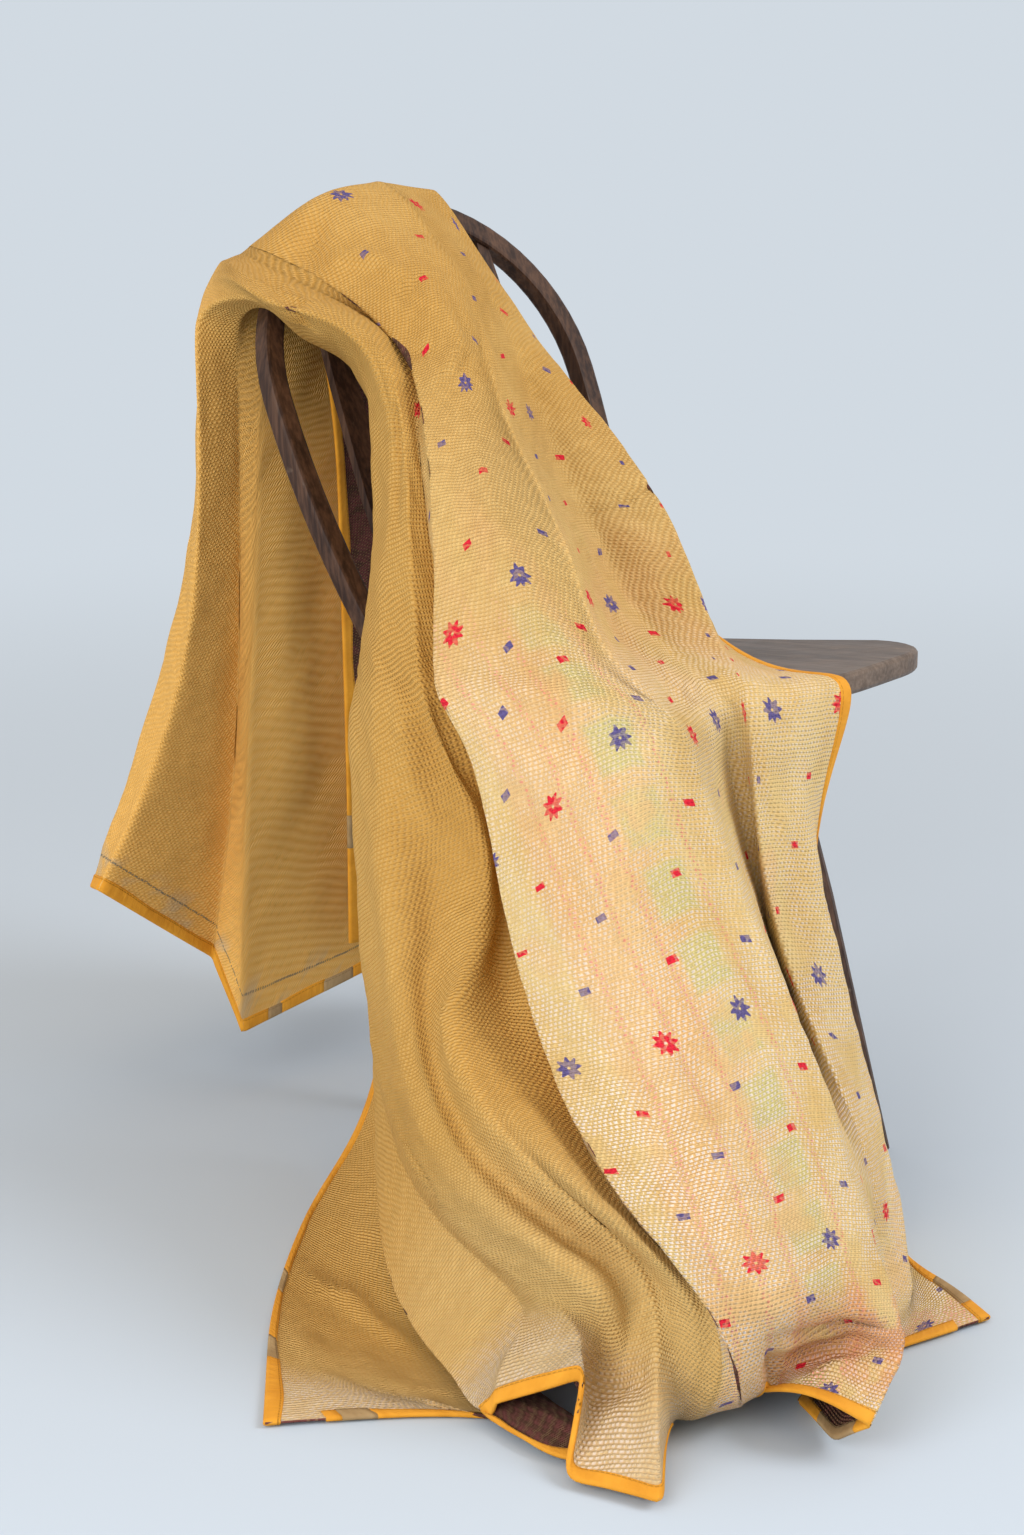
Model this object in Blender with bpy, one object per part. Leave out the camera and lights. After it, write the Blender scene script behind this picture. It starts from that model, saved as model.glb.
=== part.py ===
"""Kantha quilt draped over a plain hoop-back chair.

Metres, +Z up. Sizes below are measured from the floor under the middle of the chair, and the last step
puts the origin on the floor under the middle of the whole piece. The chair faces -Y, and its near
side, which the quilt covers, is -X. The quilt is a single sheet, pleated in three over the chair
back: a bottom layer from its near edge, a middle layer turned over, and a top layer that falls over
the seat to the floor.
"""
from math import cos, pi, radians, sin

import bmesh
import bpy
import numpy as np
from mathutils import Vector

MM = 0.001
SEAT_GAP = 0.0003          # between two pieces that touch

# ---- chair ----
SEAT_FRONT_Y = -0.190
SEAT_BACK_Y = 0.195
SEAT_FRONT_HALF = 0.210
SEAT_BACK_HALF = 0.150
SEAT_CORNER = 0.080        # radius of the front corners
SEAT_BACK_CORNER = 0.030
SEAT_BOW = 0.018           # how far the front edge bows out
SEAT_FRONT_Z = 0.445       # top of the seat at its front edge
SEAT_SLOPE = 0.093         # fall towards the back
SEAT_THICK = 0.020
HOOP_Y = 0.139             # where the hoop stands on the seat
HOOP_LEAN = 0.407          # radians from upright
HOOP_FOOT_HALF = 0.145
HOOP_HALF = 0.1915
HOOP_SHOULDER = 0.263      # height along the lean where the arch starts
HOOP_RISE = 0.430
HOOP_RADIAL = 0.020
HOOP_DEPTH = 0.0185
SLATS = (-0.112, -0.037, 0.037, 0.106)
SLAT_THICK = 0.008
SLAT_WIDTHS = ((0.0, 0.016), (0.45, 0.030), (0.72, 0.026), (1.0, 0.013))
LEG_TOP = (0.080, 0.080)
LEG_FOOT_FRONT = (0.121, 0.189)
LEG_FOOT_BACK = (0.108, 0.178)
LEG_RADII = ((0.0, 0.0115), (0.12, 0.0125), (0.55, 0.0165), (0.85, 0.0150), (1.0, 0.0120))
LEG_SIDES = 14

# ---- quilt ----
CLOTH = 0.0024             # thickness
BINDING = 0.0025           # the bound edge
BINDING_WIDTH = 0.011
BINDING_GAP = 0.0012
FIRST_STEP = 0.005         # the least distance from the seam to the next cut
BAR_CLEAR = 0.0125         # from the middle of the hoop to the first layer, with no offset

# A sheet's folds, from the near long edge to the far one. Each section below gives the place of each
# fold in millimetres (x, y, z).
FOLD_NAMES = ("near edge", "bottom layer", "far turn under", "far turn over", "middle layer",
              "middle fold", "near turn under", "near turn over", "roll", "roll slope", "valley",
              "panel edge", "panel", "panel ridge", "deep valley", "outer ridge", "outer panel",
              "far edge")
BACK_SECTIONS = (
    ("back hem",
     (-65, 300, 125), (30, 295, 120), (110, 300, 120), (115, 320, 110), (-5, 335, 80),
     (-165, 342, 52), (-170, 380, 118), (-302, 374, 212), (-285, 410, 205), (-230, 445, 180),
     (-160, 425, 150), (-100, 455, 130), (-20, 460, 120), (60, 445, 120), (100, 415, 130),
     (150, 400, 140), (110, 375, 150), (50, 365, 150)),
    ("back low",
     (-65, 300, 315), (30, 300, 320), (100, 300, 320), (105, 315, 320), (-10, 330, 270),
     (-155, 340, 275), (-145, 370, 290), (-240, 360, 330), (-235, 390, 350), (-190, 420, 350),
     (-140, 405, 340), (-90, 430, 330), (-20, 435, 330), (50, 420, 330), (90, 395, 330),
     (130, 380, 340), (100, 360, 340), (40, 350, 340)),
    ("back high",
     (-70, 300, 495), (20, 305, 530), (80, 310, 530), (85, 320, 530), (-35, 325, 490),
     (-145, 330, 485), (-150, 350, 480), (-205, 345, 480), (-185, 370, 530), (-155, 390, 550),
     (-120, 380, 550), (-80, 400, 550), (-20, 400, 550), (40, 390, 550), (70, 375, 550),
     (100, 365, 550), (70, 350, 550), (20, 340, 550)),
    ("back top",
     (-65, 312, 640), (0, 322, 700), (55, 322, 700), (60, 334, 700), (-30, 330, 635),
     (-135, 330, 645), (-155, 340, 655), (-205, 335, 670), (-185, 360, 700), (-160, 372, 715),
     (-120, 368, 720), (-80, 375, 730), (-20, 378, 735), (30, 374, 735), (55, 366, 730),
     (80, 360, 720), (55, 350, 720), (20, 347, 720)),
)
# Over the hoop the layers lie on the bar: the angle around the arch (degrees from its far side) and
# the height of the layer above the bar (mm).
OVER_HOOP = {
    "near edge": (120, 2.2),
    "bottom layer": (111, 2.0),
    "far turn under": (100, 2.0),
    "far turn over": (97, 9.6),
    "middle layer": (111, 8.6),
    "middle fold": (129, 12.5),
    "panel": (112, 24.5),
    "panel ridge": (88, 19),
    "deep valley": (76, 16.5),
    "outer ridge": (64, 15),
    "outer panel": (74, 5.5),
    "far edge": (86, 4),
}
# The near roll hangs free of the bar, so its folds have places of their own.
ROLL_OVER_HOOP = (
    ("crest back", 1, {
        "near turn under": (-165, 325, 715), "near turn over": (-195, 340, 725),
        "roll": (-165, 365, 745), "roll slope": (-150, 368, 765), "valley": (-140, 352, 780),
        "panel edge": (-110, 358, 790)}),
    ("crest", 0, {
        "near turn under": (-185, 260, 735), "near turn over": (-225, 230, 745),
        "roll": (-220, 265, 765), "roll slope": (-195, 295, 770), "valley": (-175, 300, 780),
        "panel edge": (-150, 295, 800), "panel": (-80, 307, 831)}),
    ("crest front", -1, {
        "near turn under": (-165, 240, 710), "near turn over": (-210, 200, 725),
        "roll": (-230, 205, 745), "roll slope": (-215, 230, 765), "valley": (-160, 255, 770),
        "panel edge": (-150, 240, 785), "panel": (-90, 254, 806)}),
)
FRONT_SECTIONS = (
    ("front high",
     (-130, 255, 725), (-50, 262, 731), (15, 258, 728), (20, 242, 742), (-30, 242, 744),
     (-110, 240, 727), (-135, 210, 685), (-170, 170, 700), (-195, 140, 720), (-180, 140, 735),
     (-120, 175, 725), (-130, 140, 730), (-90, 145, 745), (-45, 160, 750), (10, 190, 750),
     (50, 185, 715), (68, 218, 710), (50, 240, 710)),
    ("front mid",
     (-140, 210, 625), (-50, 173, 596), (22, 153, 596), (30, 132, 610), (-50, 147, 614),
     (-120, 166, 610), (-120, 190, 620), (-160, 160, 635), (-190, 105, 645), (-190, 90, 650),
     (-150, 120, 645), (-170, 75, 655), (-140, 55, 660), (-140, 25, 660), (-30, 100, 660),
     (20, 75, 650), (40, 105, 640), (30, 135, 635)),
    ("front low",
     (-150, 170, 530), (-60, 93, 514), (-8, 48, 512), (2, 22, 532), (-60, 60, 540),
     (-130, 110, 526), (-140, 170, 535), (-185, 130, 555), (-225, 70, 570), (-235, 35, 575),
     (-190, 60, 560), (-225, 0, 580), (-210, -45, 585), (-205, -110, 580), (-70, -20, 565),
     (-24, -62, 570), (-14, -20, 552), (-12, 10, 540)),
    ("seat",
     (-160, 120, 427), (-172, 30, 434), (-160, -90, 447), (-152, -106, 466), (-165, 0, 462),
     (-168, 88, 452), (-182, 140, 450), (-220, 110, 465), (-260, 45, 485), (-265, -5, 485),
     (-230, 5, 465), (-270, -60, 490), (-255, -145, 495), (-215, -185, 495), (-100, -130, 485),
     (-60, -142, 478), (-32, -140, 455), (-4, -140, 447)),
    ("seat edge",
     (-185, 105, 420), (-212, 30, 434), (-222, -105, 441), (-238, -122, 462), (-222, 0, 457),
     (-204, 85, 445), (-208, 122, 425), (-245, 90, 440), (-290, 20, 450), (-290, -40, 450),
     (-258, -38, 438), (-305, -85, 460), (-265, -185, 465), (-190, -220, 460), (-145, -215, 460),
     (-120, -225, 465), (-62, -231, 460), (3, -232, 455)),
    ("drop high",
     (-195, 100, 330), (-228, 20, 360), (-232, -100, 362), (-252, -114, 374), (-245, 0, 364),
     (-220, 78, 355), (-230, 100, 362), (-275, 65, 385), (-315, -10, 395), (-310, -80, 400),
     (-266, -68, 390), (-320, -130, 415), (-290, -220, 415), (-200, -245, 405), (-120, -205, 395),
     (-120, -235, 400), (-75, -240, 395), (-5, -225, 385)),
    ("drop middle",
     (-205, 90, 190), (-255, 10, 230), (-258, -112, 248), (-277, -124, 256), (-272, -15, 246),
     (-244, 55, 240), (-255, 66, 268), (-300, 30, 290), (-345, -50, 310), (-345, -125, 320),
     (-294, -120, 296), (-345, -180, 330), (-315, -270, 335), (-195, -290, 315), (-110, -235, 295),
     (-125, -260, 310), (-70, -245, 295), (7, -210, 275)),
    ("drop low",
     (-225, 105, 48), (-285, -50, 100), (-334, -185, 106), (-352, -195, 118), (-328, -85, 106),
     (-300, 10, 108), (-320, -6, 165), (-345, -35, 185), (-390, -115, 205), (-395, -200, 225),
     (-302, -208, 188), (-375, -255, 230), (-335, -345, 240), (-200, -360, 220), (-95, -290, 190),
     (-95, -305, 210), (-40, -280, 190), (12, -245, 175)),
    ("break",
     (-330, 60, 10), (-400, -90, 9), (-420, -255, 9), (-430, -265, 24), (-425, -170, 21),
     (-408, -115, 23), (-395, -140, 86), (-432, -180, 118), (-450, -240, 140), (-448, -300, 172),
     (-382, -328, 128), (-420, -365, 168), (-375, -435, 175), (-220, -425, 125), (-150, -385, 88),
     (-112, -360, 88), (-45, -330, 85), (3, -290, 70)),
    ("floor",
     (-475, -60, 4), (-500, -170, 5), (-460, -335, 5), (-460, -347, 18), (-480, -288, 16),
     (-470, -245, 17), (-438, -295, 72), (-464, -335, 98), (-475, -390, 125), (-464, -408, 130),
     (-418, -424, 88), (-424, -462, 108), (-390, -505, 115), (-285, -510, 80), (-262, -478, 60),
     (-190, -400, 46), (-95, -388, 5), (-40, -330, 5)),
    ("front hem",
     (-610, -206, 4), (-547, -264, 4), (-489, -398, 4), (-482, -408, 16), (-500, -382, 14),
     (-524, -338, 11), (-508, -322, 36), (-478, -388, 48), (-535, -425, 6), (-530, -495, 12),
     (-455, -465, 48), (-440, -500, 50), (-405, -520, 65), (-372, -558, 48), (-394, -545, 30),
     (-330, -458, 12), (-205, -452, 5), (-110, -470, 4)),
)
FULLNESS_ALONG = 1.0       # how closely the sheet keeps to the sections and to the folds
FULLNESS_ACROSS = 0.6
DENSE = (240, 360)         # the smooth sheet, sections by folds, that the solids are cut from
STEPS_PER_SECTION = 2.6
STEPS_PER_FOLD = 3.0
# Mended bits of each binding: the distance of each end from the strip's start, in millimetres.
EDGE_PATCHES = {
    "near": ((95, 125), (1780, 1815), (1900, 1935)),
    "far": ((1740, 1780), (1960, 2010)),
    "back": ((330, 365), (420, 435)),
    "front": ((12, 35), (120, 165), (960, 1010)),
}
PATCH_EXTRA = 0.0006       # a mend lies over the binding

COLOURS = {
    "quilt": ((0.66, 0.44, 0.17), 0.9), "binding": ((0.78, 0.40, 0.04), 0.8),
    "mend": ((0.52, 0.37, 0.18), 0.85), "wood": ((0.050, 0.026, 0.018), 0.45),
    "seat wood": ((0.13, 0.095, 0.075), 0.5),
}


def material(name):
    found = bpy.data.materials.get(name)
    if found:
        return found
    colour, roughness = COLOURS[name]
    made = bpy.data.materials.new(name)
    made.use_nodes = True
    shader = made.node_tree.nodes["Principled BSDF"]
    shader.inputs["Base Color"].default_value = (*colour, 1)
    shader.inputs["Roughness"].default_value = roughness
    made.diffuse_color = (*colour, 1)
    return made


def add_object(name, mesh, finish):
    mesh.materials.append(material(finish))
    made = bpy.data.objects.new(name, mesh)
    bpy.context.collection.objects.link(made)
    return made


# ---- chair ----
def seat_z(y):
    return SEAT_FRONT_Z - SEAT_SLOPE * (y - SEAT_FRONT_Y)


def on_back(x, up, out=0.0):
    """A point on the leaning plane of the chair back; out is towards the front."""
    base = seat_z(HOOP_Y)
    return Vector((x, HOOP_Y + up * sin(HOOP_LEAN) - out * cos(HOOP_LEAN),
                   base + up * cos(HOOP_LEAN) + out * sin(HOOP_LEAN)))


def around_arch(degrees, above=0.0):
    """Across and up on the back plane, on the arch or above it."""
    turn = radians(degrees)
    return ((HOOP_HALF + above) * cos(turn),
            HOOP_SHOULDER + (HOOP_RISE - HOOP_SHOULDER + above) * sin(turn))


def hoop_foot_x(up):
    """Half width of the hoop below its shoulder."""
    left = 1 - up / HOOP_SHOULDER
    return HOOP_HALF - (HOOP_HALF - HOOP_FOOT_HALF) * left * left


def hoop_line():
    """Across and up along the bar, from the near foot over the top to the far foot."""
    foot = SEAT_GAP + 0.5 * HOOP_DEPTH * SEAT_SLOPE
    rising = [foot + (HOOP_SHOULDER - foot) * step / 9 for step in range(9)]
    side = [(-hoop_foot_x(up), up) for up in rising]
    arch = [around_arch(180 - 6 * step) for step in range(31)]
    return side + arch + [(-x, up) for x, up in reversed(side)]


def bar_section(radial, depth, corner):
    """A rounded rectangle, as radial and depth offsets."""
    points = []
    for across, deep, start in ((1, 1, 0), (-1, 1, 90), (-1, -1, 180), (1, -1, 270)):
        for step in range(3):
            turn = radians(start + 45 * step)
            points.append((across * (radial / 2 - corner) + corner * cos(turn),
                           deep * (depth / 2 - corner) + corner * sin(turn)))
    return points


def bridge_rings(name, rings, finish):
    """A closed solid through rings of points, capped at both ends."""
    model = bmesh.new()
    loops = [[model.verts.new(point) for point in ring] for ring in rings]
    for lower, upper in zip(loops, loops[1:]):
        for here in range(len(lower)):
            after = (here + 1) % len(lower)
            model.faces.new((lower[here], lower[after], upper[after], upper[here]))
    model.faces.new(list(reversed(loops[0])))
    model.faces.new(loops[-1])
    bmesh.ops.recalc_face_normals(model, faces=model.faces[:])
    mesh = bpy.data.meshes.new(name)
    model.to_mesh(mesh)
    model.free()
    mesh.shade_smooth()
    mesh.set_sharp_from_angle(angle=radians(35))
    return add_object(name, mesh, finish)


def make_hoop():
    line = hoop_line()
    section = bar_section(HOOP_RADIAL, HOOP_DEPTH, 0.003)
    rings = []
    for place, (x, up) in enumerate(line):
        before = line[max(place - 1, 0)]
        after = line[min(place + 1, len(line) - 1)]
        along = Vector((after[0] - before[0], after[1] - before[1])).normalized()
        out_x, out_up = -along.y, along.x
        if place in (0, len(line) - 1):
            out_x, out_up = (-1 if place == 0 else 1), 0
        rings.append([on_back(x + out_x * radial, up + out_up * radial, deep)
                      for radial, deep in section])
    for ring in (rings[0], rings[-1]):
        for point in ring:
            point.z = seat_z(point.y) + SEAT_GAP
    return bridge_rings("chair_hoop", rings, "wood")


def hoop_inside_up(x):
    """Height along the lean of the underside of the arch at x."""
    inner = HOOP_HALF - HOOP_RADIAL / 2
    rise = HOOP_RISE - HOOP_SHOULDER - HOOP_RADIAL / 2
    return HOOP_SHOULDER + rise * (1 - (x / inner) ** 2) ** 0.5


def make_slat(number, x):
    rings = []
    half = SLAT_THICK / 2
    for share, width in SLAT_WIDTHS:
        ring = []
        for side, deep in ((-1, -1), (1, -1), (1, 1), (-1, 1)):
            edge = x + side * width / 2
            top = hoop_inside_up(edge) - SEAT_GAP
            ring.append(on_back(edge, top * share, deep * half))
        rings.append(ring)
    for point in rings[0]:
        point.z = seat_z(point.y) + SEAT_GAP
    return bridge_rings(f"chair_slat_{number}", rings, "wood")


def make_leg(name, side, front):
    top = Vector((side * LEG_TOP[0], front * LEG_TOP[1], 0))
    top.z = seat_z(top.y) - SEAT_THICK
    foot_x, foot_y = LEG_FOOT_FRONT if front < 0 else LEG_FOOT_BACK
    foot = Vector((side * foot_x, front * foot_y, 0))
    rings = []
    for share, radius in LEG_RADII:
        middle = foot.lerp(top, share)
        rings.append([middle + radius * Vector((cos(turn), sin(turn), 0))
                      for turn in (2 * pi * step / LEG_SIDES for step in range(LEG_SIDES))])
    for point in rings[-1]:
        point.z = seat_z(point.y) - SEAT_THICK - SEAT_GAP
    return bridge_rings(name, rings, "wood")


def seat_outline():
    """Half the outline on the far side, from the middle of the back to the middle of the front."""
    points = [(0, SEAT_BACK_Y)]
    centre = (SEAT_BACK_HALF - SEAT_BACK_CORNER, SEAT_BACK_Y - SEAT_BACK_CORNER)
    for step in range(5):
        turn = radians(90 - 20 * step)
        points.append((centre[0] + SEAT_BACK_CORNER * cos(turn), centre[1] + SEAT_BACK_CORNER * sin(turn)))
    points.append((SEAT_FRONT_HALF - 0.022, -0.030))
    centre = (SEAT_FRONT_HALF - SEAT_CORNER, SEAT_FRONT_Y + SEAT_CORNER)
    for step in range(9):
        turn = radians(-10 * step)
        points.append((centre[0] + SEAT_CORNER * cos(turn), centre[1] + SEAT_CORNER * sin(turn)))
    for step in range(1, 5):
        x = centre[0] * (1 - step / 4)
        points.append((x, SEAT_FRONT_Y - SEAT_BOW * (1 - (x / centre[0]) ** 2)))
    return points


def make_seat():
    half = seat_outline()
    ring = half + [(-x, y) for x, y in reversed(half[1:-1])]
    rings = []
    for inset, drop in ((0.004, SEAT_THICK), (0.0015, SEAT_THICK - 0.0015), (0.0, SEAT_THICK - 0.004),
                        (0.0, 0.004), (0.0015, 0.0012), (0.004, 0.0)):
        shrink = 1 - inset / SEAT_FRONT_HALF
        rings.append([Vector((x * shrink, y * shrink, seat_z(y * shrink) - drop)) for x, y in ring])
    return bridge_rings("chair_seat", rings, "seat wood")


# ---- quilt ----
def over_hoop(fold, side):
    """A layer on the bar: side is 1 behind it, 0 on top and -1 in front."""
    degrees, height = OVER_HOOP[fold]
    height *= MM
    if side == 0:
        return on_back(*around_arch(degrees, BAR_CLEAR + height))
    x, up = around_arch(degrees, 0.006 + 0.45 * height)
    return on_back(x, up, -side * (BAR_CLEAR + height))


def hoop_section(side, own_places):
    row = []
    for fold in FOLD_NAMES:
        if fold in own_places:
            row.append([value * MM for value in own_places[fold]])
        else:
            row.append(list(over_hoop(fold, side)))
    return row


def fold_net():
    """The folds' places, section by section, from the back hem to the front hem."""
    rows = [[[value * MM for value in place] for place in section[1:]] for section in BACK_SECTIONS]
    rows += [hoop_section(side, places) for _, side, places in ROLL_OVER_HOOP]
    rows += [[[value * MM for value in place] for place in section[1:]] for section in FRONT_SECTIONS]
    return np.array(rows)


def blend(count, samples, fullness):
    """Weights of a smooth curve through a run of places, one row for each sample."""
    weights = np.zeros((samples, count))
    for row, place in enumerate(np.linspace(0, count - 1, samples)):
        first = min(int(place), count - 2)
        part = place - first
        cubic = ((1 - part) ** 3, 3 * part ** 3 - 6 * part ** 2 + 4,
                 -3 * part ** 3 + 3 * part ** 2 + 3 * part + 1, part ** 3)
        for column, weight in zip(range(first - 1, first + 3), cubic):
            if column < 0:
                weights[row, 0] += weight / 3
                weights[row, 1] -= weight / 6
            elif column > count - 1:
                weights[row, -1] += weight / 3
                weights[row, -2] -= weight / 6
            else:
                weights[row, column] += weight / 6
    lift = np.eye(count)
    for column in range(1, count - 1):
        lift[column, column - 1:column + 2] += np.array((-1, 2, -1)) * fullness / 6
    return weights @ lift


def smooth_sheet():
    """The sheet's middle surface and its unit normals, as dense grids."""
    net = fold_net()
    along = blend(net.shape[0], DENSE[0], FULLNESS_ALONG)
    across = blend(net.shape[1], DENSE[1], FULLNESS_ACROSS)
    places = np.einsum("ij,jkd,lk->ild", along, net, across)
    places[..., 2] = np.maximum(places[..., 2], CLOTH / 2)
    normals = np.cross(np.gradient(places, axis=1), np.gradient(places, axis=0))
    normals /= np.linalg.norm(normals, axis=2, keepdims=True)
    return np.concatenate((places, normals), axis=2)


def cut_lines(grid, stops):
    """Cut a grid along its first axis, with a bound edge and its seam at both ends.

    stops are shares of the length. The cuts next to each end lie on both sides of the binding's seam.
    """
    steps = np.linalg.norm(np.diff(grid[..., :3], axis=0), axis=2)
    lengths = np.concatenate((np.zeros((1, grid.shape[1])), np.cumsum(steps, axis=0)))
    dense = np.linspace(0, 1, grid.shape[0])
    edge = np.array((0, BINDING_WIDTH, BINDING_WIDTH + BINDING_GAP))
    cut = np.empty((len(stops) + 4, grid.shape[1], grid.shape[2]))
    for column in range(grid.shape[1]):
        inside = np.interp(stops[1:-1], dense, lengths[:, column])
        inside = np.clip(inside, edge[-1] + FIRST_STEP, lengths[-1, column] - edge[-1] - FIRST_STEP)
        wanted = np.concatenate((edge, inside, lengths[-1, column] - edge[::-1]))
        for part in range(grid.shape[2]):
            cut[:, column, part] = np.interp(wanted, lengths[:, column], grid[:, column, part])
    return cut


def split_quad(places, row, column):
    """Two triangles on the quad's shorter diagonal, so that both faces of the cloth bend alike."""
    first, second = (row, column), (row, column + 1)
    third, fourth = (row + 1, column + 1), (row + 1, column)
    if np.linalg.norm(places[first] - places[third]) < np.linalg.norm(places[second] - places[fourth]):
        return (first, second, third), (first, third, fourth)
    return (first, second, fourth), (second, third, fourth)


def sheet_solid(name, grid, thickness, finish):
    """Thicken a grid of places and normals into one closed solid."""
    places = grid[..., :3].copy()
    places[..., 2] = np.maximum(places[..., 2], thickness / 2)
    normals = grid[..., 3:] / np.linalg.norm(grid[..., 3:], axis=2, keepdims=True)
    rows, columns = places.shape[:2]
    model = bmesh.new()
    faces = []
    for offset in (thickness / 2, -thickness / 2):
        faces.append([[model.verts.new(places[row, column] + offset * normals[row, column])
                       for column in range(columns)] for row in range(rows)])
    over, under = faces
    for row in range(rows - 1):
        for column in range(columns - 1):
            for triangle in split_quad(places, row, column):
                model.faces.new([over[r][c] for r, c in triangle])
                model.faces.new([under[r][c] for r, c in reversed(triangle)])
    rim = ([(0, column) for column in range(columns)]
           + [(row, columns - 1) for row in range(1, rows)]
           + [(rows - 1, column) for column in range(columns - 2, -1, -1)]
           + [(row, 0) for row in range(rows - 2, 0, -1)])
    for here, after in zip(rim, rim[1:] + rim[:1]):
        model.faces.new((over[after[0]][after[1]], over[here[0]][here[1]],
                         under[here[0]][here[1]], under[after[0]][after[1]]))
    bmesh.ops.recalc_face_normals(model, faces=model.faces[:])
    mesh = bpy.data.meshes.new(name)
    model.to_mesh(mesh)
    model.free()
    mesh.shade_smooth()
    mesh.set_sharp_from_angle(angle=radians(60))
    return add_object(name, mesh, finish)


def stops_for(count, steps_each):
    return np.linspace(0, 1, int(round((count - 1) * steps_each)) + 1)


def make_binding(edge, strip, patches):
    """Cut a bound edge into its orange runs and mended bits, end to end."""
    middle = strip[..., :3].mean(axis=0)
    lengths = np.concatenate(([0], np.cumsum(np.linalg.norm(np.diff(middle, axis=0), axis=1))))
    ends = [0.0]
    for first, last in patches:
        ends += [first * MM, last * MM]
    ends.append(lengths[-1])
    for number, (first, last) in enumerate(zip(ends, ends[1:])):
        mended = number % 2 == 1
        begin = first + (BINDING_GAP / 2 if number else 0)
        finish = last - (BINDING_GAP / 2 if number < len(ends) - 2 else 0)
        inside = lengths[(lengths > begin + 0.001) & (lengths < finish - 0.001)]
        wanted = np.concatenate(([begin], inside, [finish]))
        run = np.empty((2, len(wanted), strip.shape[2]))
        for side in range(2):
            for part in range(strip.shape[2]):
                run[side, :, part] = np.interp(wanted, lengths, strip[side, :, part])
        if mended:
            sheet_solid(f"mend_{edge}_{number // 2 + 1}", run, BINDING + PATCH_EXTRA, "mend")
        else:
            sheet_solid(f"binding_{edge}_{number // 2 + 1}", run, BINDING, "binding")


def make_quilt():
    sheet = smooth_sheet()
    along = stops_for(len(BACK_SECTIONS) + len(ROLL_OVER_HOOP) + len(FRONT_SECTIONS), STEPS_PER_SECTION)
    across = stops_for(len(FOLD_NAMES), STEPS_PER_FOLD)
    cut = cut_lines(sheet, along)
    cut = cut_lines(cut.transpose(1, 0, 2), across).transpose(1, 0, 2)
    sheet_solid("quilt", cut[2:-2, 2:-2], CLOTH, "quilt")
    make_binding("near", cut[:, :2].transpose(1, 0, 2), EDGE_PATCHES["near"])
    make_binding("far", cut[:, -2:].transpose(1, 0, 2), EDGE_PATCHES["far"])
    make_binding("back", cut[:2, 2:-2], EDGE_PATCHES["back"])
    make_binding("front", cut[-2:, 2:-2], EDGE_PATCHES["front"])


def put_origin_under_middle():
    """Move everything so that the origin is on the floor under the middle of the whole piece."""
    pieces = list(bpy.data.objects)
    points = np.array([vertex.co[:] for piece in pieces for vertex in piece.data.vertices])
    middle = (points.min(axis=0) + points.max(axis=0)) / 2
    for piece in pieces:
        piece.location = (-middle[0], -middle[1], 0)


def main():
    for old in list(bpy.data.objects):
        bpy.data.objects.remove(old)
    make_seat()
    make_hoop()
    for number, x in enumerate(SLATS, 1):
        make_slat(number, x)
    for name, side, front in (("chair_leg_front_near", -1, -1), ("chair_leg_front_far", 1, -1),
                              ("chair_leg_back_near", -1, 1), ("chair_leg_back_far", 1, 1)):
        make_leg(name, side, front)
    make_quilt()
    put_origin_under_middle()


main()
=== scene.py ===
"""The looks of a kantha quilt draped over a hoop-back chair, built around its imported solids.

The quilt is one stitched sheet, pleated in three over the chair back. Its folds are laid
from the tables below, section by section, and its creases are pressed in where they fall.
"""
from collections import namedtuple
from math import cos, pi, radians, sin

import bmesh
import bpy
import numpy as np
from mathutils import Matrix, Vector


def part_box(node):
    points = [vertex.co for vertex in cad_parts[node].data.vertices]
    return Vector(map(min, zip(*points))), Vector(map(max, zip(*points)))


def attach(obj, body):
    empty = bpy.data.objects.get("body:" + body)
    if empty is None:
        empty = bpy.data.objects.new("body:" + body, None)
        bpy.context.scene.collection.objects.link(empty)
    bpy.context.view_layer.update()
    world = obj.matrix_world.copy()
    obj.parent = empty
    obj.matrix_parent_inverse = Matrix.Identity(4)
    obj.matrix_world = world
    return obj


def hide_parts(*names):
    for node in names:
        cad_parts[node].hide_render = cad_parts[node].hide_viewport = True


MM = 0.001
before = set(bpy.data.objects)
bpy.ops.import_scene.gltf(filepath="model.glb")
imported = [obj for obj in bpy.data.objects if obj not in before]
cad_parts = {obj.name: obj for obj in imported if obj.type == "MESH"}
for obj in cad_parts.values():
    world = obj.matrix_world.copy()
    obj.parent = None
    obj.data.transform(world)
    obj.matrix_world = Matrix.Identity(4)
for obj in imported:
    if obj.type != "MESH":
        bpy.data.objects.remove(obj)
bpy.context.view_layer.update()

# The tables give places from the floor under the middle of the chair. The seat shows where that is.
SEAT_FRONT = -0.208
seat_low, seat_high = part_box("chair_seat")
CHAIR = Vector(((seat_low.x + seat_high.x) / 2, seat_low.y - SEAT_FRONT, 0))

# ---- the quilt's sheet: its thickness, and how many points it has along and across ----
CLOTH = 0.0018
ROWS = 236
COLUMNS = 208

# ---- the hoop that it hangs over, in metres, leaning back by HOOP_LEAN radians ----
HOOP_Y = 0.139
HOOP_BASE = 0.4144
HOOP_LEAN = 0.407
HOOP_HALF = 0.1915
HOOP_SHOULDER = 0.263
HOOP_RISE = 0.430
BAR_CLEAR = 0.0125

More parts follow.
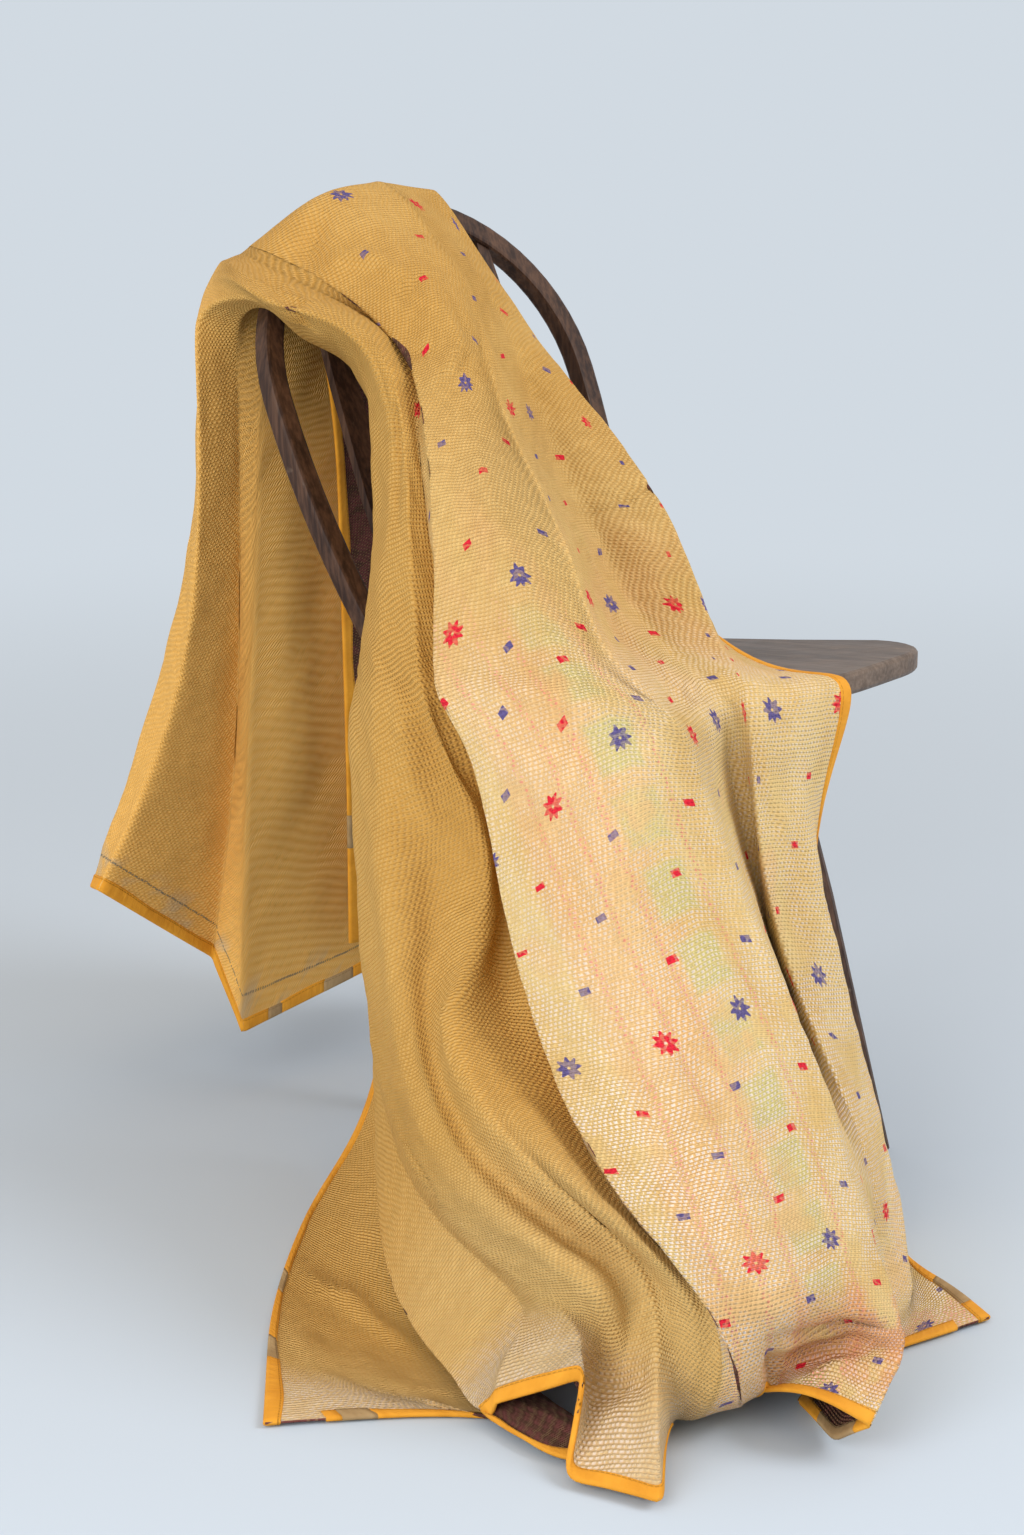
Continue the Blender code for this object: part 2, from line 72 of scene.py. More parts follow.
# ---- where the folds lie, in millimetres: one row of places for each section of the drape ----
FOLD_NAMES = ("near edge", "bottom layer", "far turn under", "far turn over", "middle layer",
              "middle fold", "near turn under", "near turn over", "roll", "roll slope", "valley",
              "panel edge", "panel", "panel ridge", "deep valley", "outer ridge", "outer panel",
              "far edge")
BACK_SECTIONS = (
    ("back hem",
     (-65, 300, 125), (30, 295, 120), (110, 300, 120), (115, 320, 110), (-5, 335, 80),
     (-165, 342, 52), (-170, 380, 118), (-302, 374, 212), (-285, 410, 205), (-230, 445, 180),
     (-160, 425, 150), (-100, 455, 130), (-20, 460, 120), (60, 445, 120), (100, 415, 130),
     (150, 400, 140), (110, 375, 150), (50, 365, 150)),
    ("back low",
     (-65, 300, 315), (30, 300, 320), (100, 300, 320), (105, 315, 320), (-10, 330, 270),
     (-155, 340, 275), (-145, 370, 290), (-240, 360, 330), (-235, 390, 350), (-190, 420, 350),
     (-140, 405, 340), (-90, 430, 330), (-20, 435, 330), (50, 420, 330), (90, 395, 330),
     (130, 380, 340), (100, 360, 340), (40, 350, 340)),
    ("back high",
     (-70, 300, 495), (20, 305, 530), (80, 310, 530), (85, 320, 530), (-35, 325, 490),
     (-145, 330, 485), (-150, 350, 480), (-205, 345, 480), (-185, 370, 530), (-155, 390, 550),
     (-120, 380, 550), (-80, 400, 550), (-20, 400, 550), (40, 390, 550), (70, 375, 550),
     (100, 365, 550), (70, 350, 550), (20, 340, 550)),
    ("back top",
     (-65, 312, 640), (0, 322, 700), (55, 322, 700), (60, 334, 700), (-30, 330, 635),
     (-135, 330, 645), (-155, 340, 655), (-205, 335, 670), (-185, 360, 700), (-160, 372, 715),
     (-120, 368, 720), (-80, 375, 730), (-20, 378, 735), (30, 374, 735), (55, 366, 730),
     (80, 360, 720), (55, 350, 720), (20, 347, 720)),
)
# Over the hoop the layers lie on the bar: the angle around the arch (degrees from its far side) and
# the height of the layer above the bar (mm).
OVER_HOOP = {
    "near edge": (120, 1.5),
    "bottom layer": (111, 1.2),
    "far turn under": (100, 1.2),
    "far turn over": (97, 3.4),
    "middle layer": (111, 4.2),
    "middle fold": (129, 7),
    "panel": (112, 11.5),
    "panel ridge": (92, 9.5),
    "deep valley": (83, 6.5),
    "outer ridge": (73, 6),
    "outer panel": (81, 3),
    "far edge": (89, 2),
}
# The near roll hangs free of the bar, so its folds have places of their own.
ROLL_OVER_HOOP = (
    ("crest back", 1, {
        "near turn under": (-165, 325, 715), "near turn over": (-195, 340, 725),
        "roll": (-165, 365, 745), "roll slope": (-150, 366, 762), "valley": (-134, 356, 768),
        "panel edge": (-122, 356, 774)}),
    ("crest", 0, {
        "near turn under": (-185, 260, 735), "near turn over": (-225, 230, 745),
        "roll": (-222, 265, 760), "roll slope": (-200, 292, 768), "valley": (-174, 296, 773),
        "panel edge": (-166, 291, 780), "panel": (-84, 306, 828)}),
    ("crest front", -1, {
        "near turn under": (-165, 240, 705), "near turn over": (-210, 200, 720),
        "roll": (-230, 205, 740), "roll slope": (-212, 222, 753), "valley": (-166, 234, 750),
        "panel edge": (-148, 232, 757), "panel": (-90, 250, 800)}),
)
FRONT_SECTIONS = (
    ("front high",
     (-100, 254, 727), (-50, 262, 731), (15, 258, 728), (20, 242, 742), (-30, 242, 744),
     (-110, 240, 727), (-135, 210, 685), (-170, 170, 700), (-195, 140, 720), (-178, 140, 722),
     (-130, 138, 706), (-156, 127, 708), (-106, 127, 742), (-45, 160, 750), (10, 190, 750),
     (50, 185, 715), (68, 218, 710), (50, 240, 710)),
    ("front mid",
     (-98, 196, 603), (-50, 173, 596), (22, 153, 596), (30, 132, 610), (-50, 147, 614),
     (-120, 166, 610), (-120, 190, 620), (-160, 160, 635), (-190, 105, 645), (-190, 90, 650),
     (-175, 88, 650), (-180, 76, 657), (-140, 55, 660), (-140, 25, 660), (-30, 100, 660),
     (20, 75, 650), (40, 105, 640), (30, 135, 635)),
    ("front low",
     (-112, 140, 520), (-60, 93, 514), (-8, 48, 512), (2, 22, 532), (-60, 60, 540),
     (-130, 110, 526), (-140, 170, 535), (-185, 130, 555), (-225, 70, 570), (-235, 35, 575),
     (-219, 26, 570), (-233, 7, 581), (-210, -45, 585), (-205, -110, 580), (-72, -8, 562),
     (-24, -62, 570), (-14, -20, 552), (-12, 10, 540)),
    ("seat",
     (-160, 120, 427), (-172, 30, 434), (-160, -90, 447), (-152, -106, 466), (-165, 0, 462),
     (-168, 88, 452), (-182, 140, 450), (-220, 110, 465), (-260, 45, 485), (-265, -5, 485),
     (-240, -22, 470), (-284, -48, 490), (-255, -145, 495), (-238, -181, 500), (-89, -95, 478),
     (-60, -142, 478), (-32, -140, 455), (-4, -140, 447)),
    ("seat edge",
     (-185, 105, 420), (-212, 30, 434), (-222, -105, 441), (-238, -122, 462), (-222, 0, 457),
     (-204, 85, 445), (-208, 122, 425), (-245, 90, 440), (-290, 20, 450), (-290, -40, 450),
     (-234, -62, 438), (-312, -80, 460), (-265, -185, 465), (-218, -239, 456), (-145, -215, 460),
     (-120, -225, 465), (-62, -231, 460), (3, -232, 455)),
    ("drop high",
     (-195, 100, 330), (-228, 20, 360), (-232, -100, 362), (-252, -114, 374), (-245, 0, 364),
     (-220, 78, 355), (-230, 100, 362), (-275, 65, 385), (-315, -10, 395), (-290, -68, 398),
     (-242, -92, 390), (-320, -130, 415), (-290, -220, 415), (-200, -245, 405), (-120, -205, 395),
     (-120, -235, 400), (-75, -240, 395), (-5, -225, 385)),
    ("drop middle",
     (-205, 90, 190), (-255, 10, 230), (-258, -112, 248), (-277, -124, 256), (-272, -15, 246),
     (-244, 55, 240), (-255, 66, 268), (-300, 30, 290), (-345, -50, 310), (-295, -123, 316),
     (-276, -139, 296), (-345, -180, 330), (-315, -270, 335), (-195, -290, 315), (-110, -235, 295),
     (-128, -257, 310), (-55, -258, 295), (-4, -204, 275)),
    ("drop low",
     (-225, 105, 48), (-285, -50, 100), (-334, -185, 106), (-352, -195, 118), (-328, -85, 106),
     (-300, 10, 108), (-320, -6, 165), (-345, -35, 185), (-390, -115, 205), (-385, -162, 238),
     (-348, -240, 203), (-375, -255, 230), (-335, -345, 240), (-200, -360, 220), (-100, -266, 190),
     (-114, -286, 210), (-42, -280, 190), (2, -236, 175)),
    ("break",
     (-330, 60, 10), (-400, -90, 9), (-420, -255, 9), (-430, -265, 24), (-425, -170, 21),
     (-408, -115, 23), (-395, -140, 86), (-432, -180, 118), (-450, -240, 140), (-453, -305, 186),
     (-412, -366, 150), (-420, -365, 168), (-375, -435, 175), (-220, -425, 125), (-150, -385, 88),
     (-112, -360, 88), (-50, -325, 85), (-3, -284, 70)),
    ("floor",
     (-475, -60, 4), (-500, -170, 5), (-460, -335, 5), (-460, -347, 18), (-480, -288, 16),
     (-470, -245, 17), (-438, -295, 72), (-464, -335, 98), (-475, -390, 125), (-416, -391, 122),
     (-410, -457, 100), (-424, -462, 108), (-390, -505, 115), (-285, -510, 80), (-262, -478, 60),
     (-190, -400, 46), (-95, -388, 5), (-44, -326, 5)),
    ("hem rise",
     (-545, -135, 4), (-525, -218, 5), (-475, -368, 5), (-471, -379, 17), (-490, -335, 15),
     (-498, -295, 15), (-471, -305, 44), (-470, -375, 78), (-430, -359, 36), (-448, -426, 62),
     (-411, -431, 13), (-395, -460, 30), (-324, -456, 44), (-302, -528, 62), (-264, -471, 30),
     (-239, -424, 20), (-156, -424, 6), (-80, -407, 5)),
    ("front hem",
     (-610, -206, 4), (-483, -308, 3), (-469, -407, 3), (-477, -416, 9), (-510, -397, 8),
     (-499, -319, 9), (-501, -327, 24), (-471, -381, 50), (-522, -415, 8), (-503, -482, 8),
     (-376, -376, 4), (-346, -417, 6), (-380, -502, 52), (-358, -544, 32), (-354, -510, 8),
     (-323, -455, 6), (-205, -452, 5), (-110, -470, 4)),
)
# How near the sharp folds' neighbours lie, as a share of the way to the next fold.
PRESSED = {"middle fold": 0.12, "near turn under": 0.15, "near turn over": 0.25, "roll": 0.3,
           "roll slope": 0.15, "valley": 0.2, "panel edge": 0.08, "panel ridge": 0.16,
           "deep valley": 0.3, "outer ridge": 0.12, "outer panel": 0.3}
# How far the cloth between two folds sinks in, section by section (mm), and which way that is.
HOLLOWS = {
    "roll": {"drop middle": 10, "drop low": 20, "break": 26, "floor": 24},
    "roll slope": {"drop high": 8, "drop middle": 28, "drop low": 2, "break": -24, "floor": -12},
    "panel ridge": {"front mid": 6, "front low": 22, "seat": 28, "seat edge": 10},
}
INWARD = np.array((0.66, 0.66, -0.35))
SECTION_NAMES = [section[0] for section in BACK_SECTIONS + ROLL_OVER_HOOP + FRONT_SECTIONS]
# How closely the surface keeps to the places in the tables, from 0, loosely, to 1.
FULLNESS_ALONG = 1.0
FULLNESS_ACROSS = 0.8
# The sections at the crest of the hoop and at the seat's front edge.
CREST = 5
SEAT_EDGE = 11
# The woven stars over the flat cloth, in metres: their spacing, and where a column and a row start.
STAR_ACROSS = 0.077
STAR_ALONG = 0.213
STAR_COLUMN = 0.056
STAR_START = 0.015
Sheet = namedtuple("Sheet", "places normals across along section fold")


def over_hoop(fold, side):
    """A layer on the bar: side is 1 behind it, 0 on top and -1 in front."""
    degrees, height = OVER_HOOP[fold]
    height *= MM
    turn = radians(degrees)
    above = BAR_CLEAR + height if side == 0 else 0.006 + 0.45 * height
    out = 0 if side == 0 else -side * (BAR_CLEAR + height)
    x = (HOOP_HALF + above) * cos(turn)
    up = HOOP_SHOULDER + (HOOP_RISE - HOOP_SHOULDER + above) * sin(turn)
    return (x, HOOP_Y + up * sin(HOOP_LEAN) - out * cos(HOOP_LEAN),
            HOOP_BASE + up * cos(HOOP_LEAN) + out * sin(HOOP_LEAN))


def fold_net():
    """The folds' places, section by section, from the back hem to the front hem."""
    def laid(sections):
        return [[[value * MM for value in place] for place in section[1:]] for section in sections]

    rows = laid(BACK_SECTIONS)
    for _, side, own in ROLL_OVER_HOOP:
        rows.append([[value * MM for value in own[fold]] if fold in own else over_hoop(fold, side)
                     for fold in FOLD_NAMES])
    return np.array(rows + laid(FRONT_SECTIONS))


def curve_weights(count, stops, fullness):
    """Weights of a smooth curve through a run of places, one row for each stop."""
    weights = np.zeros((len(stops), count))
    for row, stop in enumerate(stops):
        first = min(int(stop), count - 2)
        part = stop - first
        cubic = ((1 - part) ** 3, 3 * part ** 3 - 6 * part ** 2 + 4,
                 -3 * part ** 3 + 3 * part ** 2 + 3 * part + 1, part ** 3)
        for column, weight in zip(range(first - 1, first + 3), cubic):
            if 0 <= column < count:
                weights[row, column] += weight / 6
            else:
                end, beside = (0, 1) if column < 0 else (-1, -2)
                weights[row, end] += weight / 3
                weights[row, beside] -= weight / 6
    lift = np.eye(count)
    for column in range(1, count - 1):
        lift[column, column - 1:column + 2] += np.array((-1, 2, -1)) * fullness / 6
    return weights @ lift


def even_stops(run, count, evenness):
    """Stops along a dense run of places, partly even in length and partly even in folds."""
    steps = np.linalg.norm(np.diff(run, axis=0), axis=2).mean(axis=1)
    length = np.concatenate(([0], np.cumsum(steps)))
    dense = np.linspace(0, 1, len(length))
    share = evenness * length / length[-1] + (1 - evenness) * dense
    return np.interp(np.linspace(0, 1, count), share, dense)


def pressed_net():
    """The folds' places with extra ones in the hollows and close beside the sharp folds, and each
    column's place in the list of folds."""
    net = fold_net()
    columns, names = [], []
    for number, fold in enumerate(FOLD_NAMES):
        here = net[:, number]
        columns.append(here)
        names.append(float(number))
        if number == len(FOLD_NAMES) - 1:
            break
        after = net[:, number + 1]
        own, following = PRESSED.get(fold), PRESSED.get(FOLD_NAMES[number + 1])
        if own:
            columns.append(here + own * (after - here))
            names.append(number + own)
        if fold in HOLLOWS:
            depths = np.array([HOLLOWS[fold].get(section, 0) * MM for section in SECTION_NAMES])
            columns.append((here + after) / 2 + depths[:, None] * INWARD)
            names.append(number + 0.5)
        if following:
            columns.append(after + following * (here - after))
            names.append(number + 1 - following)
    return np.stack(columns, axis=1), np.array(names)


def laid_sheet():
    """The sheet's middle surface, with each point's place in the lists of sections and of folds."""
    net, names = pressed_net()
    sections, folds = net.shape[:2]

    def surface(section_stops, fold_stops):
        return np.einsum("ij,jkd,lk->ild", curve_weights(sections, section_stops, FULLNESS_ALONG),
                         net, curve_weights(folds, fold_stops, FULLNESS_ACROSS))

    dense = surface(np.linspace(0, sections - 1, 300), np.linspace(0, folds - 1, 400))
    along = even_stops(dense, ROWS, 0.7)
    across = even_stops(dense.transpose(1, 0, 2), COLUMNS, 0.6)
    along, across = along * (sections - 1), across * (folds - 1)
    return surface(along, across), along, np.interp(across, np.arange(folds), names)


def face_normals(places):
    normals = np.cross(np.gradient(places, axis=0), np.gradient(places, axis=1))
    return normals / np.linalg.norm(normals, axis=2, keepdims=True)


# ---- the sheet's own unevenness ----
def ripples(across, along, lengths, size, seed):
    """Small uneven waves over the cloth, as a sum of crossing swells of the given lengths."""
    order = np.random.default_rng(seed)
    height = np.zeros_like(across)
    for length in np.linspace(lengths[0], lengths[1], 22):
        turn = order.uniform(0, 2 * pi)
        start = order.uniform(0, 2 * pi)
        way = across * cos(turn) + along * sin(turn)
        height += length * np.sin(2 * pi * way / length + start)
    return size * height / np.abs(height).max()


def soft_step(value, low, high):
    share = np.clip((value - low) / (high - low), 0, 1)
    return share * share * (3 - 2 * share)


def near_line(across, along, line):
    """Distance from a line of flat places, and how far along the line that is, from 0 to 1."""
    best = np.full(across.shape, 9.0)
    where = np.zeros(across.shape)
    spans = len(line) - 1
    for number, (first, last) in enumerate(zip(line, line[1:])):
        run = (last[0] - first[0], last[1] - first[1])
        reach = (across - first[0]) * run[0] + (along - first[1]) * run[1]
        part = reach / (run[0] ** 2 + run[1] ** 2)
        part = np.clip(part, 0, 1)
        gap = np.hypot(across - first[0] - part * run[0], along - first[1] - part * run[1])
        closer = gap < best
        best = np.where(closer, gap, best)
        where = np.where(closer, (number + part) / spans, where)
    return best, where


# Creases pressed into the sheet: their depth and half width in millimetres (a ridge has a negative
# depth), and the line they follow as places in the lists of folds and of sections.
CREASES = (
    ("recess beside the elbow", 14, 13, ((9.5, 12.4), (9.45, 12.9), (9.42, 13.3), (9.5, 13.6))),
    ("elbow", -8, 7,
     ((9.3, 13), (9.15, 13.42), (9, 13.76), (8.84, 13.95), (8.84, 14.14), (8.89, 14.45))),
    ("groove under the band", 12, 9,
     ((8.57, 15.06), (8.48, 15.32), (8.48, 15.67), (8.75, 15.91), (9.11, 16.1))),
    ("hollow beside the band", 12, 16,
     ((8.3, 13.6), (8.22, 14.0), (8.3, 14.45), (8.35, 14.9), (8.4, 15.3))),
    ("nick in the near bulge", 5, 6, ((7.22, 14.63), (7.22, 14.81), (7.01, 15.06), (6.45, 15.13))),
    ("foot of the lobe", 14, 10, ((7.01, 17.25), (7.57, 17.25), (8.36, 17.13), (8.89, 17.01))),
    ("tuck above the hem", 9, 6, ((11.6, 16.31), (12.07, 16.42), (12.58, 16.31), (13.17, 16.2))),
    ("hollow below the tuck", 8, 12, ((11.6, 16.77), (12.15, 16.89), (12.68, 16.65))),
    ("ridge below the tuck", -6, 8, ((11.79, 17.9), (12.32, 17.36), (13.23, 17.01))),
    ("end of the tuck", 10, 7, ((11.6, 16.42), (11.6, 17.13), (11.69, 17.79))),
    ("pocket under the knee", 13, 15, ((9.06, 10.92), (8.94, 11.6), (9.06, 11.89), (9.3, 12.16))),
    ("bulge beside the pocket", -9, 11,
     ((8.57, 10.92), (8.48, 11.7), (8.48, 12.24), (8.57, 12.56))),
    ("knee ridge", -5, 12, ((11.07, 10.8), (11.6, 10.68), (11.99, 10.92), (12.4, 10.92))),
    ("knee hollow", 6, 14, ((11.28, 11.6), (11.79, 11.6), (12.23, 11.39), (12.68, 11.28))),
    ("pleat above the seat", 7, 6, ((13.58, 8.96), (14.21, 8.89), (14.62, 8.82), (15.23, 8.75))),
    ("bulge by the pleat", -6, 12, ((13.82, 9.16), (14.39, 9.09), (14.74, 9.09))),
    ("wrinkle on the ridge", 5, 6, ((12.91, 9.44), (12.86, 9.73), (12.58, 10.06))),
    ("wrinkle at the knee", 5, 7, ((12.81, 10.25), (12.91, 10.56), (13.11, 10.8))),
    ("first long crease", 3.5, 6, ((11.6, 13.89), (11.69, 14.33), (11.69, 14.88), (11.6, 15.39))),
    ("second long crease", 3.5, 6,
     ((11.99, 13.62), (12.07, 14.14), (12.15, 14.69), (12.23, 15.39))),
    ("long ridge", -3, 8, ((11.79, 13.76), (11.89, 14.26), (11.89, 14.81))),
    ("upper long crease", 3, 12, ((11.69, 12.48), (11.79, 13.15), (11.89, 13.69))),
    ("far valley", 8, 12, ((14.4, 11.28), (14.4, 12.16), (14.3, 12.71), (14.2, 13.1))),
    ("sweep over the seat", 6, 14, ((12.76, 10.8), (13.63, 10.8), (14.39, 11.04))),
    ("ridge by the far valley", -5, 8,
     ((15.1, 11.28), (15.23, 11.98), (15.45, 12.48), (15.34, 13.01))),
    ("pinch in the roll", 7, 9, ((9.4, 5.9), (9.06, 6.33), (7.39, 6.25), (6.3, 6))),
    ("second pinch in the roll", 6, 8, ((9.6, 5.6), (9.15, 5.96), (8.22, 6.16))),
    ("hollow over the hoop", 5, 9, ((11.79, 5.47), (11.5, 5.61), (11.07, 5.73))),
    ("second hollow over the hoop", 5, 12,
     ((12.07, 6.73), (11.69, 6.89), (11.28, 7.04), (11.05, 7.3))),
    ("shoulder ridge", -6, 9, ((12.07, 7.19), (12.07, 7.41), (11.69, 7.63), (11.06, 7.77))),
    ("shoulder hollow", 6, 9, ((13.11, 7.11), (13.05, 7.41), (12.49, 7.63), (11.79, 7.84))),
    ("nick at the shoulder", 6, 7, ((11.1, 7.36), (11.28, 7.26), (11.6, 7.41))),
    ("crease below the roll", 6, 8, ((9.31, 7.63), (8.75, 7.98), (8.22, 8.47), (8.48, 8.96))),
    ("hollow in the panel", 4, 16, ((11.39, 8.19), (11.6, 8.68), (11.99, 9.02))),
    ("fold over the roll", 6, 9, ((10.9, 5.76), (11.3, 5.6), (11.7, 5.45), (11.93, 5.36))),
    ("upper puff", -7, 10, ((10.93, 5.87), (11.47, 6.08), (11.75, 6.34), (11.84, 6.66))),
    ("side puff", 6, 8, ((11.45, 6.76), (11.75, 6.74), (12.1, 6.74))),
    ("star crease", 6, 7, ((12.19, 7.49), (11.93, 7.64), (11.47, 7.78))),
    ("star ridge", -5, 8, ((13.1, 7.34), (12.44, 7.64), (11.47, 7.85))),
    ("ridge edge up", -6, 10, ((13.19, 7.71), (13.32, 8.14), (13.62, 8.49))),
    ("second back fold", -5, 14, ((4.89, 2.51), (4.69, 1.71), (4.59, 0.95))),
    ("third back fold", 5, 14, ((4.5, 2.05), (4.41, 1.38), (4.33, 0.86))),
    ("flap ridge", -6, 10, ((0.23, 15.52), (0.78, 15.35), (1.16, 15.5), (1.4, 15.95))),
    ("flap hollow", 6, 14, ((0.62, 15.91), (1.16, 15.67), (1.46, 15.83))),
)


def creased(sheet_fold, sheet_section, across, along):
    """The height of all the creases, over the whole sheet."""
    height = np.zeros_like(across)
    for _, depth, half_width, line in CREASES:
        flat = []
        for fold, section in line:
            column = int(np.argmin(np.abs(sheet_fold[0] - fold)))
            row = int(np.argmin(np.abs(sheet_section[:, 0] - section)))
            flat.append((across[row, column], along[row, column]))
        gap, where = near_line(across, along, flat)
        fade = np.sin(pi * np.clip(0.10 + 0.80 * where, 0, 1))
        height -= depth * MM * fade * np.exp(-(gap / (half_width * MM)) ** 2)
    return height


def smoothed(steps):
    """Steps evened out over their first index, so that the weave runs straight."""
    rows = np.linspace(0, 1, len(steps))
    near = np.exp(-((rows[:, None] - rows[None, :]) / 0.09) ** 2)
    return near / near.sum(axis=1, keepdims=True) @ steps


# Cloth that turns by this many radians in a metre keeps its place; by BEND_RANGE less, it is free.
SHARP_BEND = 110
BEND_RANGE = 80


def room_to_move(places, normals):
    """How far a point may leave its place, from 0 in a sharp fold to 1 where the cloth is open."""
    bend = np.linalg.norm(np.gradient(normals, axis=1), axis=2) / np.linalg.norm(
        np.gradient(places, axis=1), axis=2)
    room = np.clip((SHARP_BEND - bend) / BEND_RANGE, 0, 1)
    for _ in range(6):
        mean = (room[:, :-2] + room[:, 1:-1] + room[:, 2:]) / 3
        room[:, 1:-1] = np.minimum(room[:, 1:-1], mean + 0.08)
    for _ in range(4):
        room[:, 1:-1] = (room[:, :-2] + 2 * room[:, 1:-1] + room[:, 2:]) / 4
        room[1:-1] = (room[:-2] + 2 * room[1:-1] + room[2:]) / 4
    return room


def finished_sheet():
    """The sheet with its creases: places, normals of its face, and flat places of each point."""
    places, section, fold = laid_sheet()
    across_steps = smoothed(np.linalg.norm(np.diff(places, axis=1), axis=2))
    along_steps = smoothed(np.linalg.norm(np.diff(places, axis=0), axis=2).T).T
    start = np.zeros((places.shape[0], 1))
    across = np.concatenate((start, np.cumsum(across_steps, axis=1)), axis=1)
    start = np.zeros((1, places.shape[1]))
    along = np.concatenate((start, np.cumsum(along_steps, axis=0)), axis=0)
    ridge = int(np.argmin(np.abs(fold - FOLD_NAMES.index("panel ridge"))))
    knee = int(np.argmin(np.abs(section - SEAT_EDGE)))
    across = across - across[:, ridge:ridge + 1]
    along = along - along[knee:knee + 1, :]
    along = along + 0.4 * np.minimum(0, across + STAR_COLUMN)
    section = section[:, None] + 0 * across
    fold = fold[None, :] + 0 * across
    free = 1 - 0.95 * np.exp(-((section - CREST) / 1.2) ** 2)
    edge = np.minimum(np.minimum(np.arange(COLUMNS), np.arange(COLUMNS)[::-1])[None, :],
                      np.minimum(np.arange(ROWS), np.arange(ROWS)[::-1])[:, None])
    calm = soft_step(edge, 0, 5)
    normals = face_normals(places)
    free = free * room_to_move(places, normals)
    height = free * calm * (ripples(across, along, (0.035, 0.11), 0.0032, 4)
                            + ripples(across, along, (0.014, 0.03), 0.0010, 9))
    height += calm * room_to_move(places, normals) * creased(fold, section, across, along)
    places = places + height[..., None] * normals
    places[..., 2] = np.maximum(places[..., 2], CLOTH / 2 + 0.0003)
    return Sheet(places, face_normals(places), across, along, section, fold)


def new_piece(name, points, faces):
    mesh = bpy.data.meshes.new(name)
    mesh.from_pydata([tuple(point) for point in points], [], faces)
    mesh.update()
    mesh.shade_smooth()
    piece = bpy.data.objects.new(name, mesh)
    bpy.context.collection.objects.link(piece)
    return piece


def give_flat_places(piece, across, along, name="flat"):
    """A UV map in metres over the flat cloth."""
    layer = piece.data.uv_layers.new(name=name)
    corners = np.empty(len(piece.data.loops), dtype=np.int32)
    piece.data.loops.foreach_get("vertex_index", corners)
    flat = np.stack((across[corners], along[corners]), axis=1)
    layer.data.foreach_set("uv", flat.ravel())


# Where each row of woven stars crosses the panel, in metres along the cloth.
STAR_ROWS = (-0.86, -0.63, -0.350, -0.131, 0.024, 0.247, 0.452, 0.62, 0.84)
# The fold from which the cloth is patterned, at each of these sections.
WOVEN_FROM = ((5.5, 11.75), (6.5, 10.9), (7.6, 9.8), (8.3, 9.8), (9.2, 10.3))


def weave_places(sheet):
    """Places in the woven pattern: its rows lie where the cloth has been eased, and its columns
    step over by one beyond the far valley."""
    lines = np.arange(0, len(STAR_ROWS) - 0.9, 0.25)
    there = np.interp(lines, np.arange(len(STAR_ROWS)), STAR_ROWS)
    even = STAR_START + STAR_ALONG * (lines - 4)
    half = 0.011
    tilt = 0.45 * (1 - soft_step(sheet.along, 0.03, 0.2))
    along = sheet.along + tilt * np.minimum(0, sheet.across + STAR_COLUMN)
    along = np.interp(along, np.stack((there - half, there + half), axis=1).ravel(),
                      np.stack((even - half, even + half), axis=1).ravel())
    beyond = soft_step(sheet.fold, 14.6, 15.2) * (1 - soft_step(sheet.section, 13.8, 14.6))
    return sheet.across + STAR_ACROSS * beyond, along


def make_cloth(sheet):
    """The sheet with its thickness, its flat places and the shares that its finish reads."""
    rows, columns = sheet.across.shape
    face = sheet.places + CLOTH / 2 * sheet.normals
    reverse = sheet.places - CLOTH / 2 * sheet.normals
    face[..., 2] = np.maximum(face[..., 2], 0.0004)
    reverse[..., 2] = np.maximum(reverse[..., 2], 0.0004)
    points = np.concatenate((face.reshape(-1, 3), reverse.reshape(-1, 3))) + np.array(CHAIR)
    number = np.arange(rows * columns).reshape(rows, columns)
    low, right, far, up = number[:-1, :-1], number[:-1, 1:], number[1:, 1:], number[1:, :-1]
    over = np.stack((low, up, far, right), axis=-1).reshape(-1, 4)
    under = np.stack((low, right, far, up), axis=-1).reshape(-1, 4) + rows * columns
    rim = np.concatenate((number[0, :], number[1:, -1], number[-1, -2::-1], number[-2:0:-1, 0]))
    after = np.roll(rim, -1)
    side = np.stack((rim, after, after + rows * columns, rim + rows * columns), axis=-1)
    faces = np.concatenate((over, under, side)).tolist()
    piece = new_piece("quilted_cloth", points, faces)
    kinds = np.zeros(len(faces), dtype=np.int32)
    kinds[len(over):] = 1
    piece.data.materials.append(FINISHES["face"])
    piece.data.materials.append(FINISHES["reverse"])
    piece.data.polygons.foreach_set("material_index", kinds)

    def twice(values):
        return np.concatenate((values.ravel(), values.ravel()))

    for name, flat in (("flat", (sheet.across, sheet.along)), ("weave", weave_places(sheet))):
        give_flat_places(piece, twice(flat[0]), twice(flat[1]), name)
    first = np.interp(sheet.section, *zip(*WOVEN_FROM))
    woven = soft_step(sheet.fold, first - 0.1, first) * soft_step(sheet.section, 3.6, 4.0)
    from_back = sheet.along - sheet.along[0]
    from_front = sheet.along[-1] - sheet.along
    for name, values in (("woven", woven), ("from_back", from_back), ("from_front", from_front)):
        layer = piece.data.attributes.new(name, "FLOAT", "POINT")
        layer.data.foreach_set("value", twice(values).astype(np.float32))
    return piece


# ---- the bound edge ----
# The binding's section: how far in from the edge and how far off the cloth, in millimetres.
BINDING_SECTION = ((-1.5, 0.0), (-0.9, 1.5), (1.5, 2.0), (6.0, 1.8), (10.0, 2.0), (11.2, 1.1),
                   (11.2, -1.1), (10.0, -2.0), (6.0, -1.8), (1.5, -2.0), (-0.9, -1.5))
